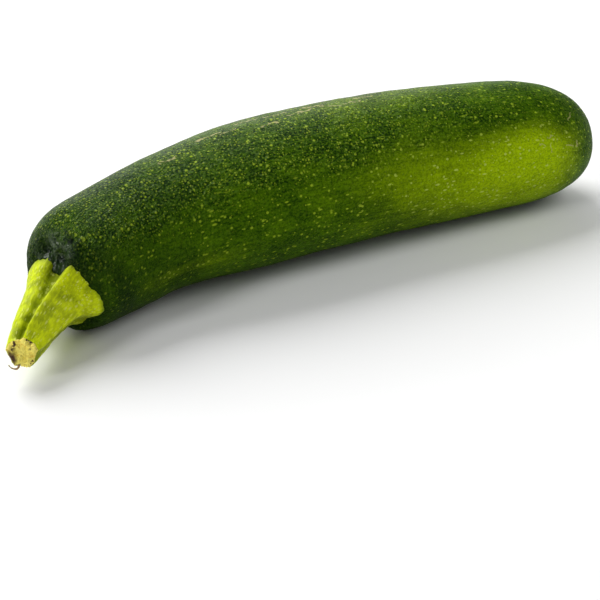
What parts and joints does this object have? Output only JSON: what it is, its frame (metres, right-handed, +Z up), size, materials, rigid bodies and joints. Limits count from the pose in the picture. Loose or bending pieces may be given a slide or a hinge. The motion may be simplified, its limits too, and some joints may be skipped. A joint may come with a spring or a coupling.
{
  "type": "whole courgette with its cut stalk",
  "caption": "Whole dark green courgette lying on its side, slightly curved, with its ribbed pale green cut stalk.",
  "frame": {"origin": "on the resting plane, under the middle of the courgette's bounding box", "axes": "+X from the stalk end towards the blossom end, +Z up from the resting plane, and the fruit's outer curve bulges towards +Y"},
  "size_m": [0.2418, 0.0636, 0.0512],
  "materials": {
    "skin": "smooth waxy dark green skin with pale yellow-green specks",
    "stalk": "firm ribbed yellow-green stalk, corky tan where it was cut"
  },
  "bodies": {
    "root": {"fruit": "skin", "stalk": "stalk"}
  },
  "joints": []
}
